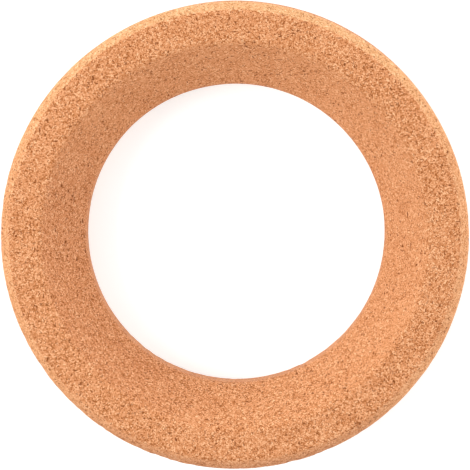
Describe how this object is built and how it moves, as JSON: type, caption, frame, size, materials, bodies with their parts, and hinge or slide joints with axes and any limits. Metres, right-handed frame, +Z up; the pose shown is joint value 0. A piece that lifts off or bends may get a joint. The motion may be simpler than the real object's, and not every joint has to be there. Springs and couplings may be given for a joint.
{
  "type": "cork ring",
  "caption": "Pressed cork ring with a flat base, a bevelled flat rim and a sloped seat around a round hole, for standing a round-bottomed flask.",
  "frame": {"origin": "centre of the hole, in the plane of the flat base", "axes": "+Z up along the hole's axis, from the base towards the flat rim and the sloped seat; the ring is round about Z"},
  "size_m": [0.14, 0.14, 0.03],
  "materials": {
    "cork": "fine-grained agglomerated cork, turned and lightly sanded, matt, with pale granules and scattered dark bark specks"
  },
  "bodies": {
    "root": {"ring": "cork"}
  },
  "joints": []
}
